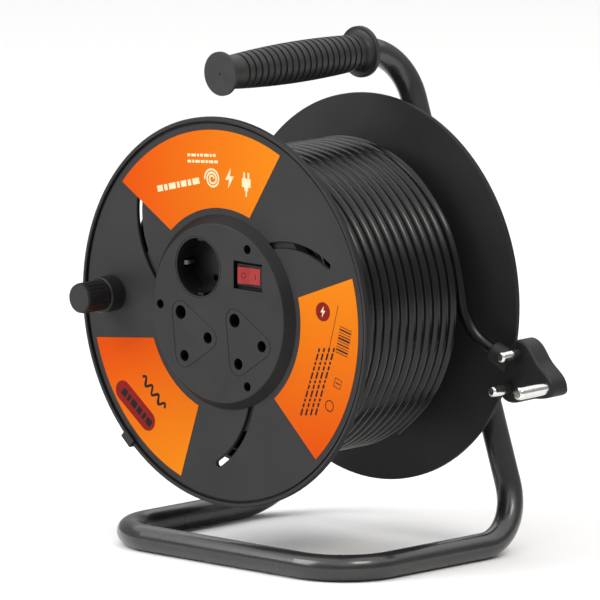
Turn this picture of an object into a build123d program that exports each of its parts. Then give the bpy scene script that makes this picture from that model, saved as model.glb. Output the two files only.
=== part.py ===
from build123d import *
from math import cos, radians, sin
import os

# Extension cord reel: a bent steel tube stand, a turning plastic drum with a socket panel,
# a winding of round rubber cord and a three-pin plug. Millimetres, +Z up. The origin is on the
# floor under the middle of the reel, and the drum's axis runs along Y with its socket side at -Y.

os.makedirs("parts", exist_ok=True)

# ---- driving dimensions ----
flange_r = 132.0            # both drum flanges
drum_width = 150.8          # front lip to the back of the rear rim
axis_z = 172.2              # drum axis above the floor
knob_reach = 31.2           # crank knob in front of the front lip
stand_back = 191.8          # axle nut behind the front lip
front_y = -(stand_back - knob_reach) / 2    # the front lip's plane

tube_r = 9.0                # stand tube, 18 mm outside
tube_bore_r = 7.5
cord_r = 4.05               # 3 x 1.5 mm2 rubber cord, 8.1 mm
run_gap = 0.3               # air between parts that move past each other
fit_gap = 0.05              # radial clearance of the running fits
screw_gap = 0.05

core_r = 81.0               # the drum barrel that the cord is wound on
core_wall = 2.5
web_front, web_back = 1.5, 4.2      # front flange's sheet, as depths behind the lip
rear_front, rear_back = 147.0, 149.8
panel_face, panel_wall = -4.8, 2.5
panel_inner = panel_face + panel_wall
panel_face_r, panel_base_r = 60.3, 66.0

grip_z = 162.1              # heights are from the drum's axis
foot_z = -163.2
foot_x = 112.15
foot_front = 1.3
tube_back = 174.2           # depth of the tube's two upright legs
top_bend, rear_bend, floor_bend = 37.0, 39.0, 41.0


def at(x, depth, z):
    """A point by its sideways place, its depth behind the front lip and its height over the axis."""
    return Vector(x, front_y + depth, axis_z + z)


def face(depth, x=0.0, z=0.0):
    """A plane that looks forward out of the drum, with X to the right and Y up."""
    return Plane(origin=at(x, depth, z), x_dir=(1, 0, 0), z_dir=(0, -1, 0))


def turned_face(depth, degrees):
    """The same plane on the drum's axis, with its X turned up from the right by an angle."""
    return Plane(origin=at(0, depth, 0), x_dir=(cos(radians(degrees)), 0, sin(radians(degrees))),
                 z_dir=(0, -1, 0))


def polar(r, degrees):
    return (r * cos(radians(degrees)), r * sin(radians(degrees)))


side = Plane(origin=at(0, 0, 0), x_dir=(0, 1, 0), z_dir=(1, 0, 0))     # depth across, radius up
drum_axis = Axis(at(0, 0, 0), (0, 1, 0))


def save(piece, label):
    piece.part.label = label
    export_step(piece.part, f"parts/{label}.step")
    return piece


def rod(radius, near, far, x=0.0, z=0.0, mode=Mode.ADD):
    """A round bar, or with Mode.SUBTRACT a hole, between two depths."""
    with BuildSketch(face(far, x, z)) as disc:
        Circle(radius)
    extrude(disc.sketch, amount=far - near, mode=mode)


def rods(radius, near, far, places, mode=Mode.ADD):
    with BuildSketch(face(far)) as discs:
        with Locations(*places):
            Circle(radius)
    extrude(discs.sketch, amount=far - near, mode=mode)


def bar(width, height, near, far, x=0.0, z=0.0, mode=Mode.ADD):
    """A square-cornered block between two depths."""
    with BuildSketch(face(far, x, z)) as block:
        Rectangle(width, height)
    extrude(block.sketch, amount=far - near, mode=mode)


def ring_profile(points):
    """Revolves a closed outline of (depth, radius) points about the drum's axis."""
    with BuildSketch(side) as outline:
        with BuildLine():
            Polyline(*points, close=True)
        make_face()
    revolve(outline.sketch, axis=drum_axis)


# ================= stand =================
leg_slope = foot_x / (grip_z - foot_z)          # the main leg leans from the grip to the right foot
brace_slope = foot_x / -foot_z                  # the brace runs through the drum's axis
joint_z = grip_z * leg_slope / (leg_slope + brace_slope)
brace_joint = at(joint_z * brace_slope, tube_back, joint_z)
brace_seam_z = -40.0                            # where the bent tube's sweep hands over to the straight end
brace_seam = at(brace_seam_z * brace_slope, tube_back, brace_seam_z)
brace_length = (brace_joint - brace_seam).length
brace_plane = Plane(origin=brace_seam, z_dir=brace_joint - brace_seam)

stand_route = [
    at(0, 0, grip_z),
    at(0, tube_back, grip_z),
    at(foot_x, tube_back, foot_z),
    at(foot_x, foot_front, foot_z),
    at(-foot_x, foot_front, foot_z),
    at(-foot_x, tube_back, foot_z),
    brace_seam,
]
stand_radii = [top_bend, rear_bend, floor_bend, floor_bend, rear_bend]

bracket_front, bracket_thick = 162.2, 3.0
bracket_back = bracket_front + bracket_thick
axle_r = 6.0
bracket_screw_z = (12.0, -12.0)
bracket_screws_at = [((grip_z - z) * leg_slope, z) for z in bracket_screw_z]
bracket_screw_r = 2.5

with BuildPart() as frame_tube:
    with BuildLine() as stand_line:
        FilletPolyline(*stand_route, radius=stand_radii)
    with BuildSketch(Plane(origin=stand_line.line @ 0, z_dir=stand_line.line % 0)):
        Circle(tube_r)
        Circle(tube_bore_r, mode=Mode.SUBTRACT)
    sweep(path=stand_line.line)
    with BuildSketch(brace_plane):
        Circle(tube_r)
    extrude(amount=brace_length)
    with BuildSketch(brace_plane):
        Circle(tube_bore_r)
    extrude(amount=brace_length, mode=Mode.SUBTRACT)
    main_leg = Plane(origin=brace_joint, z_dir=(leg_slope, 0, -1))
    with BuildSketch(main_leg):
        Circle(tube_bore_r)
    extrude(amount=2 * tube_r, both=True, mode=Mode.SUBTRACT)
    rod(axle_r, bracket_back, stand_back, mode=Mode.SUBTRACT)
    rods(bracket_screw_r + screw_gap, bracket_front, tube_back, bracket_screws_at, mode=Mode.SUBTRACT)
save(frame_tube, "frame_tube")

# the grip: a closed ribbed sleeve over the tube's front end
grip_front, grip_rear = -3.0, 135.5
grip_cap_r, grip_neck_r, grip_waist_r, grip_tail_r, grip_collar_r = 14.9, 11.25, 14.0, 12.2, 17.5
grip_axis = Axis(at(0, 0, grip_z), (0, 1, 0))
rib_first, rib_pitch, rib_count = 14.0, 5.7, 20
rib_width, rib_depth = 1.8, 1.1


def grip_radius(depth):
    """The barrel's outer radius: thickest in the middle, a little thicker at its rear end."""
    barrel_start, barrel_end = 6.0, 128.0
    t = (depth - barrel_start) / (barrel_end - barrel_start)
    swell = grip_waist_r - (grip_neck_r + grip_tail_r) / 2
    return grip_neck_r + (grip_tail_r - grip_neck_r) * t + swell * 4 * t * (1 - t)


with BuildPart() as handle_grip:
    with BuildSketch(Plane(origin=at(0, 0, grip_z), x_dir=(0, 1, 0), z_dir=(1, 0, 0))):
        with BuildLine():
            Polyline((0, 0), (grip_front, 0), (grip_front, grip_cap_r - 0.5), (grip_front + 0.5, grip_cap_r),
                     (grip_front + 2.2, grip_cap_r))
            ThreePointArc((grip_front + 2.2, grip_cap_r), (1.6, 12.0), (6.0, grip_neck_r))
            ThreePointArc((6.0, grip_neck_r), (67.0, grip_radius(67.0)), (128.0, grip_tail_r))
            ThreePointArc((128.0, grip_tail_r), (131.6, 13.2), (132.8, 15.6))
            Polyline((132.8, 15.6), (132.4, grip_collar_r - 0.6), (132.9, grip_collar_r),
                     (grip_rear, grip_collar_r), (grip_rear, tube_r), (0, tube_r), (0, 0))
        make_face()
        for index in range(rib_count):
            groove = rib_first + index * rib_pitch
            with Locations((groove, grip_radius(groove))):
                Rectangle(rib_width, 2 * rib_depth, mode=Mode.SUBTRACT)
    revolve(axis=grip_axis)
    rod(0.6, grip_front, 0.0, z=grip_z, mode=Mode.SUBTRACT)
save(handle_grip, "handle_grip")

# the axle bracket: a plate across the main leg and the brace
bracket_left, bracket_right, bracket_half = -20.0, 70.0, 20.0
with BuildPart() as axle_bracket:
    with BuildSketch(face(bracket_back, (bracket_left + bracket_right) / 2)):
        RectangleRounded(bracket_right - bracket_left, 2 * bracket_half, 10)
    extrude(amount=bracket_thick)
    rod(axle_r, bracket_front, bracket_back, mode=Mode.SUBTRACT)
    rods(bracket_screw_r + screw_gap, bracket_front, bracket_back, bracket_screws_at, mode=Mode.SUBTRACT)
save(axle_bracket, "axle_bracket")

with BuildPart() as bracket_screws:
    rods(4.6, bracket_front - 3.2, bracket_front, bracket_screws_at)
    rods(bracket_screw_r, bracket_front, bracket_front + 10, bracket_screws_at)
save(bracket_screws, "bracket_screws")

# the axle: one bar through the brace, with a nut behind and a snap ring inside the drum
axle_front, ring_groove = 88.0, (92.0, 93.2)
hub_front, hub_end = 95.0, 155.0
saddle_flat = 184.8
with BuildPart() as axle:
    rod(axle_r, axle_front, stand_back - 1.0)
    with BuildSketch(face(ring_groove[1])):
        Circle(axle_r)
        Circle(axle_r - 0.8, mode=Mode.SUBTRACT)
    extrude(amount=ring_groove[1] - ring_groove[0], mode=Mode.SUBTRACT)
    chamfer(axle.faces().sort_by(Axis.Y)[0].edges(), 0.8)
save(axle, "axle")

with BuildPart() as saddle_washer:
    rod(10.0, 178.0, saddle_flat)
    with BuildSketch(brace_plane):
        Circle(tube_r)
    extrude(amount=brace_length, mode=Mode.SUBTRACT)
    rod(axle_r, 178.0, saddle_flat, mode=Mode.SUBTRACT)
save(saddle_washer, "saddle_washer")

with BuildPart() as axle_nut:
    with BuildSketch(face(stand_back)):
        RegularPolygon(10.4, 6)
        Circle(axle_r, mode=Mode.SUBTRACT)
    extrude(amount=stand_back - saddle_flat)
save(axle_nut, "axle_nut")

with BuildPart() as axle_spacer:
    rod(9.0, hub_end + run_gap, bracket_front)
    rod(axle_r, hub_end + run_gap, bracket_front, mode=Mode.SUBTRACT)
save(axle_spacer, "axle_spacer")

with BuildPart() as axle_washer:
    rod(10.5, ring_groove[1], hub_front - run_gap)
    rod(axle_r + fit_gap, ring_groove[1], hub_front - run_gap, mode=Mode.SUBTRACT)
save(axle_washer, "axle_washer")

with BuildPart() as snap_ring:
    rod(8.6, *ring_groove)
    rod(axle_r - 0.8, *ring_groove, mode=Mode.SUBTRACT)
    bar(5.0, 12.0, *ring_groove, z=9.0, mode=Mode.SUBTRACT)
save(snap_ring, "snap_ring")

# ================= drum =================
slot_width, slot_bevel = 4.3, 0.5
slot_turns = (38.0, 153.5, 280.8)
slot_bend = [polar(65.0, 11.5), polar(84.0, 0.0), polar(104.0, -14.0)]
opening_r = 59.0
lip_groove = 2.8            # depth of the ring groove at the foot of the lip
front_screw_r, front_screw_ring, front_head_r = 1.5, 62.6, 2.8
front_screw_turns = (100.0, 220.0, 340.0)
front_screws_at = [polar(front_screw_ring, turn) for turn in front_screw_turns]
crank_x, crank_z = -104.6, 1.1
crank_pin_r = 3.0


def slot_cut(width, near, far, taper=0.0):
    for turn in slot_turns:
        with BuildSketch(turned_face(far, turn)) as slot:
            with BuildLine() as bend:
                ThreePointArc(*slot_bend)
            SlotArc(arc=bend.wire(), height=width)
        extrude(slot.sketch, amount=far - near, taper=taper, mode=Mode.SUBTRACT)


def countersinks(mode=Mode.ADD):
    """The cones of the flush screw heads in the front flange."""
    with BuildSketch(face(web_front)) as heads:
        with Locations(*front_screws_at):
            Circle(front_head_r)
    extrude(heads.sketch, amount=-(front_head_r - front_screw_r), taper=45, mode=mode)


with BuildPart() as front_flange:
    ring_profile([(web_front, opening_r), (web_front, 127.5), (lip_groove, 127.8), (lip_groove, 128.9),
                  (0.4, 129.1), (0.0, 129.5), (0.0, 131.0), (0.3, 131.6), (0.9, flange_r), (3.4, flange_r),
                  (web_back, 131.2), (web_back, opening_r)])
    slot_cut(slot_width, web_front, web_back)
    slot_cut(slot_width, web_front, web_front + slot_bevel, taper=-45)
    rods(front_screw_r + screw_gap, web_front, web_back, front_screws_at, mode=Mode.SUBTRACT)
    countersinks(Mode.SUBTRACT)
    rod(crank_pin_r, web_front, web_back, crank_x, crank_z, mode=Mode.SUBTRACT)
save(front_flange, "front_flange")

# the barrel, with an end ring at the front, a bulkhead for the panel's screws and an end ring at the back
bulkhead = (23.0, 26.0)
panel_screw_places = [(-53.8, 0.3), (27.0, 46.4), (27.0, -46.7)]
boss_front, panel_boss_r, end_ring = 12.0, 4.75, 3.0
rear_screw_ring, rear_screw_turns = 72.0, (30.0, 90.0, 150.0, 210.0, 270.0, 330.0)
rear_screws_at = [polar(rear_screw_ring, turn) for turn in rear_screw_turns]
lead_depth, lead_z = 17.05, -57.0       # where the cord's inner end is clamped
clamp_half, clamp_thick = 11.0, 6.0
clamp_screws_at = [(-8.0, lead_z), (8.0, lead_z)]
lead_plane = Plane(origin=at(0, lead_depth, -core_r - 1), z_dir=(0, 0, 1))

with BuildPart() as drum_core:
    rod(core_r, web_back, rear_front)
    rod(core_r - core_wall, web_back, rear_front, mode=Mode.SUBTRACT)
    with BuildSketch(face(web_back + end_ring)):
        Circle(core_r - core_wall)
        Circle(opening_r + 0.6, mode=Mode.SUBTRACT)
    extrude(amount=end_ring)
    with BuildSketch(face(bulkhead[1])):
        Circle(core_r - core_wall)
        Circle(47.0, mode=Mode.SUBTRACT)
    extrude(amount=bulkhead[1] - bulkhead[0])
    with BuildSketch(face(rear_front)):
        Circle(core_r - core_wall)
        Circle(66.0, mode=Mode.SUBTRACT)
    extrude(amount=end_ring)
    rods(panel_boss_r, boss_front, bulkhead[0], panel_screw_places)
    rods(3.5, web_back + end_ring, 15.0, front_screws_at)
    rods(3.6, rear_front - 12.0, rear_front - end_ring, rear_screws_at)
    bar(2 * clamp_half, 10.0, lead_depth, bulkhead[0], z=lead_z)
    rods(1.5 + screw_gap, boss_front, bulkhead[1], panel_screw_places, mode=Mode.SUBTRACT)
    rods(front_screw_r + screw_gap, web_back, 14.0, front_screws_at, mode=Mode.SUBTRACT)
    rods(1.5 + screw_gap, rear_front - 11.0, rear_front, rear_screws_at, mode=Mode.SUBTRACT)
    rods(1.5 + screw_gap, lead_depth, bulkhead[1], clamp_screws_at, mode=Mode.SUBTRACT)
    with BuildSketch(lead_plane):
        Circle(cord_r)
    extrude(amount=40.0, mode=Mode.SUBTRACT)
save(drum_core, "drum_core")

with BuildPart() as core_screws_front:
    countersinks()
    rods(front_screw_r, web_front, 13.5, front_screws_at)
save(core_screws_front, "core_screws_front")

hub_screws_at = [polar(31.0, turn) for turn in (45.0, 135.0, 225.0, 315.0)]
with BuildPart() as rear_flange:
    ring_profile([(rear_front, 15.6), (rear_front, 131.4), (rear_front + 0.6, flange_r),
                  (drum_width - 0.6, flange_r), (drum_width, 131.4), (drum_width, 129.6),
                  (rear_back, 128.4), (rear_back, 15.6)])
    with BuildSketch(face(drum_width)):
        with PolarLocations(85.0, 12):
            Rectangle(80.0, 2.0)
    extrude(amount=drum_width - rear_back)
    rods(1.5 + screw_gap, rear_front, drum_width, rear_screws_at, mode=Mode.SUBTRACT)
    rods(2.0 + screw_gap, rear_front, rear_back, hub_screws_at, mode=Mode.SUBTRACT)
save(rear_flange, "rear_flange")

with BuildPart() as core_screws_rear:
    rods(3.0, drum_width, drum_width + 2.0, rear_screws_at)
    rods(1.5, rear_front - 10.5, drum_width, rear_screws_at)
save(core_screws_rear, "core_screws_rear")

# the hub: a tube with two plain bushes, screwed to the rear flange
bush_length, bush_r = 14.0, 10.0
hub_plate_back = rear_back + 3.0
with BuildPart() as rear_hub:
    rod(15.0, hub_front, hub_end)
    rod(38.0, rear_back, hub_plate_back)
    rod(axle_r + 1.5, hub_front, hub_end, mode=Mode.SUBTRACT)
    rod(bush_r, hub_front, hub_front + bush_length, mode=Mode.SUBTRACT)
    rod(bush_r, hub_end - bush_length, hub_end, mode=Mode.SUBTRACT)
    rods(2.0 + screw_gap, rear_back, hub_plate_back, hub_screws_at, mode=Mode.SUBTRACT)
save(rear_hub, "rear_hub")

with BuildPart() as hub_bushes:
    for start in (hub_front, hub_end - bush_length):
        with BuildSketch(face(start + bush_length)):
            Circle(bush_r)
            Circle(axle_r + fit_gap, mode=Mode.SUBTRACT)
        extrude(amount=bush_length)
save(hub_bushes, "hub_bushes")

with BuildPart() as hub_screws:
    rods(3.6, hub_plate_back, hub_plate_back + 2.2, hub_screws_at)
    rods(2.0, rear_front - 4.0, hub_plate_back, hub_screws_at)
save(hub_screws, "hub_screws")

with BuildPart() as hub_nuts:
    with BuildSketch(face(rear_front)):
        with Locations(*hub_screws_at):
            RegularPolygon(4.0, 6)
            Circle(2.0, mode=Mode.SUBTRACT)
    extrude(amount=3.2)
save(hub_nuts, "hub_nuts")

# ================= crank =================
collar_r, collar_front = 12.2, -11.2
knob_back, knob_front, knob_r = collar_front - run_gap, -knob_reach, 10.4
cap_thick, cap_r = 2.7, 9.85
knob_cap_back = knob_front + cap_thick
flute_count, flute_r = 20, 0.9
head_floor = -24.0

with BuildPart() as crank_collar:
    rod(collar_r, collar_front, web_front, crank_x, crank_z)
    chamfer(crank_collar.faces().sort_by(Axis.Y)[0].edges(), 0.8)
    rod(crank_pin_r, collar_front, web_front, crank_x, crank_z, mode=Mode.SUBTRACT)
save(crank_collar, "crank_collar")

with BuildPart() as crank_pin:
    rod(crank_pin_r, head_floor - run_gap, web_back + 4.0, crank_x, crank_z)
    rod(5.4, head_floor - run_gap - 2.4, head_floor - run_gap, crank_x, crank_z)
save(crank_pin, "crank_pin")

with BuildPart() as crank_nut:
    with BuildSketch(face(web_back + 3.6, crank_x, crank_z)):
        RegularPolygon(5.8, 6)
        Circle(crank_pin_r, mode=Mode.SUBTRACT)
    extrude(amount=3.6)
save(crank_nut, "crank_nut")

with BuildPart() as crank_knob:
    rod(knob_r, knob_cap_back, knob_back, crank_x, crank_z)
    with BuildSketch(face(knob_back - 1.6, crank_x, crank_z)):
        with PolarLocations(knob_r + 0.35, flute_count):
            Circle(flute_r)
    extrude(amount=knob_back - 1.6 - knob_cap_back, mode=Mode.SUBTRACT)
    rod(crank_pin_r + fit_gap, knob_cap_back, knob_back, crank_x, crank_z, mode=Mode.SUBTRACT)
    rod(6.0, knob_cap_back, head_floor, crank_x, crank_z, mode=Mode.SUBTRACT)
save(crank_knob, "crank_knob")

with BuildPart() as knob_cap:
    rod(cap_r, knob_front, knob_cap_back, crank_x, crank_z)
    chamfer(knob_cap.faces().sort_by(Axis.Y)[0].edges(), 0.9)
save(knob_cap, "knob_cap")

# the hook on the front rim where the plug's lead is parked
hook_turn, hook_width, hook_front, hook_back = 227.5, 10.6, -1.6, 6.4
hook_inner_r, hook_outer_r = 127.6, flange_r + 1.8
with BuildPart() as rim_hook:
    with BuildSketch(turned_face(hook_back, hook_turn)):
        with Locations(((flange_r + hook_outer_r) / 2, 0)):
            Rectangle(hook_outer_r - flange_r, hook_width)
    extrude(amount=hook_back - hook_front)
    with BuildSketch(turned_face(hook_back, hook_turn)):
        with Locations((flange_r - 1.0, 0)):
            Rectangle(4.0, hook_width)
    extrude(amount=hook_back - web_back)
    with BuildSketch(turned_face(0, hook_turn)):
        with Locations(((hook_inner_r + hook_outer_r) / 2, 0)):
            Rectangle(hook_outer_r - hook_inner_r, hook_width)
    extrude(amount=-hook_front)
    rod(flange_r, 0, web_back, mode=Mode.SUBTRACT)
    fillet(rim_hook.faces().sort_by(Axis.Y)[0].edges(), 0.5)
save(rim_hook, "rim_hook")

# ================= socket panel =================
schuko_x, schuko_z = -18.6, 29.3
schuko_r, schuko_floor = 19.75, panel_face + 17.5
schuko_pin_half = 9.5
schuko_pins_at = [(schuko_x, schuko_z + schuko_pin_half), (schuko_x, schuko_z - schuko_pin_half)]
m_shift = 50.0                                  # the right three-pin socket from the left one
left_earth = (-34.8, -3.1)
left_power = [(-9.7, -17.8), (-31.3, -32.3)]
socket_earth_r, socket_power_r = 4.75, 3.9
pin_passage_end = 6.0


def shifted(places, dx):
    return [(x + dx, z) for x, z in places]


earth_places = [left_earth, *shifted([left_earth], m_shift)]
power_places = [*left_power, *shifted(left_power, m_shift)]
switch_x, switch_z = 27.5, 28.3
pocket_w, pocket_h, pocket_floor = 26.4, 19.0, -0.8
cutout_half_w, cutout_half_h = 10.7, 6.7
recess_r, recess_floor = 3.15, 7.5
panel_groove = 0.4

with BuildPart() as socket_panel:
    ring_profile([(web_front, panel_base_r), (-3.9, panel_face_r + 0.9), (-4.5, panel_face_r + 0.4),
                  (panel_face, panel_face_r - 0.4), (panel_face, 0), (panel_inner, 0),
                  (panel_inner, 57.6), (web_front, panel_base_r - 2.8)])
    rods(panel_boss_r, panel_inner, boss_front, panel_screw_places)
    bar(pocket_w + 3.0, pocket_h + 3.0, panel_inner, pocket_floor + 2.0, switch_x, switch_z)
    bar(pocket_w, pocket_h, panel_face, pocket_floor, switch_x, switch_z, mode=Mode.SUBTRACT)
    bar(2 * cutout_half_w, 2 * cutout_half_h, pocket_floor, pocket_floor + 2.0, switch_x, switch_z,
        mode=Mode.SUBTRACT)
    with BuildSketch(face(panel_face + panel_groove, schuko_x, schuko_z)):
        Circle(schuko_r + 1.3)
        Circle(schuko_r + 0.8, mode=Mode.SUBTRACT)
    extrude(amount=panel_groove, mode=Mode.SUBTRACT)
    rod(schuko_r, panel_face, panel_inner, schuko_x, schuko_z, mode=Mode.SUBTRACT)
    rods(socket_earth_r, panel_face, panel_inner, earth_places, mode=Mode.SUBTRACT)
    rods(socket_power_r, panel_face, panel_inner, power_places, mode=Mode.SUBTRACT)
    rods(recess_r, panel_face, recess_floor, panel_screw_places, mode=Mode.SUBTRACT)
    rods(1.8, recess_floor, boss_front, panel_screw_places, mode=Mode.SUBTRACT)
    for dx in (0.0, m_shift):
        with BuildSketch(face(panel_face + panel_groove)):
            with BuildSketch(face(0), mode=Mode.PRIVATE) as outline:
                with Locations(*shifted([left_earth, *left_power], dx)):
                    Circle(8.2)
                make_hull()
            add(outline.sketch_local)
            offset(outline.sketch_local, amount=-0.45, mode=Mode.SUBTRACT)
        extrude(amount=panel_groove, mode=Mode.SUBTRACT)
save(socket_panel, "socket_panel")

with BuildPart() as panel_screws:
    rods(2.9, recess_floor - 2.2, recess_floor, panel_screw_places)
    rods(1.5, recess_floor, bulkhead[1] - 1.0, panel_screw_places)
save(panel_screws, "panel_screws")

cup_r, carrier_r, carrier_end = 21.9, 15.0, 22.0
clip_slot, schuko_pin_bore = 6.0, 2.45
with BuildPart() as schuko_insert:
    rod(cup_r, panel_inner, schuko_floor + 3.0, schuko_x, schuko_z)
    rod(carrier_r, schuko_floor + 3.0, carrier_end, schuko_x, schuko_z)
    rod(schuko_r, panel_inner, schuko_floor, schuko_x, schuko_z, mode=Mode.SUBTRACT)
    bar(2 * cup_r + 2, clip_slot, 2.0, schuko_floor, schuko_x, schuko_z, mode=Mode.SUBTRACT)
    for sideways in (-1, 1):
        bar(4.0, clip_slot, schuko_floor, schuko_floor + 3.0, schuko_x + sideways * 21.2, schuko_z,
            mode=Mode.SUBTRACT)
    rods(schuko_pin_bore, schuko_floor, schuko_floor + 3.0, schuko_pins_at, mode=Mode.SUBTRACT)
    rods(3.4, schuko_floor + 3.0, carrier_end, schuko_pins_at, mode=Mode.SUBTRACT)
    for upright in (-1, 1):                     # guide ribs at the top and bottom of the recess
        bar(5.0, 2.4, panel_inner, schuko_floor, schuko_x, schuko_z + upright * 18.9)
save(schuko_insert, "schuko_insert")

with BuildPart() as schuko_contacts:
    rods(3.4, schuko_floor + 3.0, 27.0, schuko_pins_at)
    rods(schuko_pin_bore, schuko_floor + 3.0, 26.0, schuko_pins_at, mode=Mode.SUBTRACT)
save(schuko_contacts, "schuko_contacts")

# earth clips: bowed strips at the left and right of the recess, standing on the earth bar
bar_front, bar_back = 19.0, 20.0
clip_thick, clip_half = 0.8, 1.5
clip_inner, clip_bow = 20.7, 17.9       # how far the strip's inner side is from the recess's middle
clip_outer = clip_inner + clip_thick
with BuildPart() as schuko_earth_clips:
    for sideways in (-1, 1):
        clip_plane = Plane(origin=at(schuko_x, 0, schuko_z), x_dir=(sideways, 0, 0), z_dir=(0, 0, sideways))
        with BuildSketch(clip_plane):
            with BuildLine():
                ThreePointArc((clip_inner, 3.0), (clip_bow, 7.5), (clip_inner, 12.0))
                Polyline((clip_inner, 12.0), (clip_inner, bar_front), (clip_outer, bar_front), (clip_outer, 12.4))
                ThreePointArc((clip_outer, 12.4), (clip_bow + clip_thick, 7.5), (clip_outer, 2.6))
                Line((clip_outer, 2.6), (clip_inner, 3.0))
            make_face()
        extrude(amount=clip_half, both=True)
save(schuko_earth_clips, "schuko_earth_clips")

# carriers and contact tubes behind the two three-pin sockets
power_tube_r, earth_tube_r, carrier_back = 4.6, 5.5, 17.0
for label, dx in (("socket_carrier_left", 0.0), ("socket_carrier_right", m_shift)):
    with BuildPart() as socket_carrier:
        with BuildSketch(face(carrier_back)):
            with Locations(*shifted([left_earth, *left_power], dx)):
                Circle(7.3)
            make_hull()
        extrude(amount=carrier_back - panel_inner)
        rods(socket_earth_r, panel_inner, pin_passage_end, shifted([left_earth], dx), mode=Mode.SUBTRACT)
        rods(socket_power_r, panel_inner, pin_passage_end, shifted(left_power, dx), mode=Mode.SUBTRACT)
        rods(earth_tube_r, pin_passage_end, carrier_back, shifted([left_earth], dx), mode=Mode.SUBTRACT)
        rods(power_tube_r, pin_passage_end, carrier_back, shifted(left_power, dx), mode=Mode.SUBTRACT)
    save(socket_carrier, label)

plug_power_r, plug_earth_r = 3.525, 4.35
with BuildPart() as socket_contacts:
    rods(earth_tube_r, pin_passage_end, bar_front, earth_places)
    rods(power_tube_r, pin_passage_end, bar_front, power_places)
    rods(plug_earth_r + 0.1, pin_passage_end, bar_front, earth_places, mode=Mode.SUBTRACT)
    rods(plug_power_r + 0.1, pin_passage_end, bar_front, power_places, mode=Mode.SUBTRACT)
save(socket_contacts, "socket_contacts")

# bus bars, in one plane behind the contact tubes
clip_bar_x = clip_inner + clip_thick / 2
with BuildPart() as earth_bar:
    bar(m_shift + 10.0, 8.0, bar_front, bar_back, left_earth[0] + m_shift / 2, left_earth[1])
    for sideways in (-1, 1):
        top, bottom = schuko_z + 3.0, left_earth[1]
        bar(5.0, top - bottom, bar_front, bar_back, schuko_x + sideways * clip_bar_x, (top + bottom) / 2)
save(earth_bar, "earth_bar")

for label, (x, z) in zip(("neutral_bar", "line_bar"), left_power):
    with BuildPart() as power_bar:
        bar(m_shift + 9.0, 7.0, bar_front, bar_back, x + m_shift / 2, z)
    save(power_bar, label)

# ================= switch =================
bezel_front, switch_back = -2.8, 20.0
rocker_pivot = -0.5                     # depth of the rocker's pivot
window_half_w, window_half_h = 10.0, 5.9
rocker_half_h, nub_r, nub_reach = 5.6, 1.0, 6.3
rocker_tilt = 8.0
terminals_at = [(switch_x - 5.0, switch_z), (switch_x + 5.0, switch_z)]
pivot_plane = Plane(origin=at(switch_x, rocker_pivot, switch_z), x_dir=(1, 0, 0), z_dir=(0, 0, 1))

with BuildPart() as switch_housing:
    bar(23.6, 15.4, bezel_front, pocket_floor, switch_x, switch_z)
    chamfer(switch_housing.faces().sort_by(Axis.Y)[0].edges(), 0.5)
    bar(2 * cutout_half_w - 0.2, 2 * cutout_half_h - 0.2, pocket_floor, switch_back, switch_x, switch_z)
    bar(2 * window_half_w, 2 * window_half_h, bezel_front, 8.0, switch_x, switch_z, mode=Mode.SUBTRACT)
    with BuildSketch(pivot_plane):
        Circle(nub_r + fit_gap)
    extrude(amount=nub_reach + 0.1, both=True, mode=Mode.SUBTRACT)
save(switch_housing, "switch_housing")

with BuildPart() as switch_terminals:
    with BuildSketch(face(27.0)):
        with Locations(*terminals_at):
            Rectangle(0.8, 4.8)
    extrude(amount=27.0 - switch_back)
save(switch_terminals, "switch_terminals")

# the rocker lies with its right end pressed in; its section is a shallow valley with two flat faces
with BuildPart() as rocker_button:
    rocker_plane = pivot_plane.rotated((0, 0, rocker_tilt))
    with BuildSketch(rocker_plane):
        with BuildLine():
            Polyline((0, -2.5), (9.3, -3.8), (9.3, -1.0), (6.0, 4.0), (-6.0, 4.0), (-9.3, -1.0),
                     (-9.3, -3.8), close=True)
        make_face()
    extrude(amount=rocker_half_h, both=True)
    with BuildSketch(rocker_plane):
        Circle(nub_r)
    extrude(amount=nub_reach, both=True)
save(rocker_button, "rocker_button")

# ================= labels =================
label_thick, label_in, label_out = 0.3, 70.5, 123.2
# in degrees round the drum: where the outer arc starts and ends, and then the inner arc
label_turns = {
    "label_top": (65.3, 140.5, 70.7, 134.6),
    "label_right": (-46.8, 17.2, -49.0, 14.7),
    "label_left": (194.5, 250.8, 200.8, 250.1),
}
for label, (out_a, out_b, in_a, in_b) in label_turns.items():
    with BuildPart() as sticker:
        with BuildSketch(face(web_front)):
            with BuildLine():
                out_mid, in_mid = (out_a + out_b) / 2, (in_a + in_b) / 2
                ThreePointArc(polar(label_out, out_a), polar(label_out, out_mid), polar(label_out, out_b))
                Line(polar(label_out, out_b), polar(label_in, in_b))
                ThreePointArc(polar(label_in, in_b), polar(label_in, in_mid), polar(label_in, in_a))
                Line(polar(label_in, in_a), polar(label_out, out_a))
            make_face()
        extrude(amount=label_thick)
    save(sticker, label)

# ================= wiring inside the drum =================
with BuildPart() as cord_inner_end:
    with BuildSketch(Plane(origin=at(0, lead_depth, -core_r + 0.4), z_dir=(0, 0, 1))):
        Circle(cord_r)
    extrude(amount=core_r - 0.4 - 48.0)
save(cord_inner_end, "cord_inner_end")

with BuildPart() as cord_clamp:
    bar(2 * clamp_half, 10.0, lead_depth - clamp_thick, lead_depth, z=lead_z)
    with BuildSketch(lead_plane):
        Circle(cord_r)
    extrude(amount=40.0, mode=Mode.SUBTRACT)
    rods(1.5 + screw_gap, lead_depth - clamp_thick, lead_depth, clamp_screws_at, mode=Mode.SUBTRACT)
save(cord_clamp, "cord_clamp")

with BuildPart() as clamp_screws:
    rods(2.6, lead_depth - clamp_thick - 2.0, lead_depth - clamp_thick, clamp_screws_at)
    rods(1.5, lead_depth - clamp_thick, bulkhead[1] - 0.5, clamp_screws_at)
save(clamp_screws, "clamp_screws")

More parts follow.
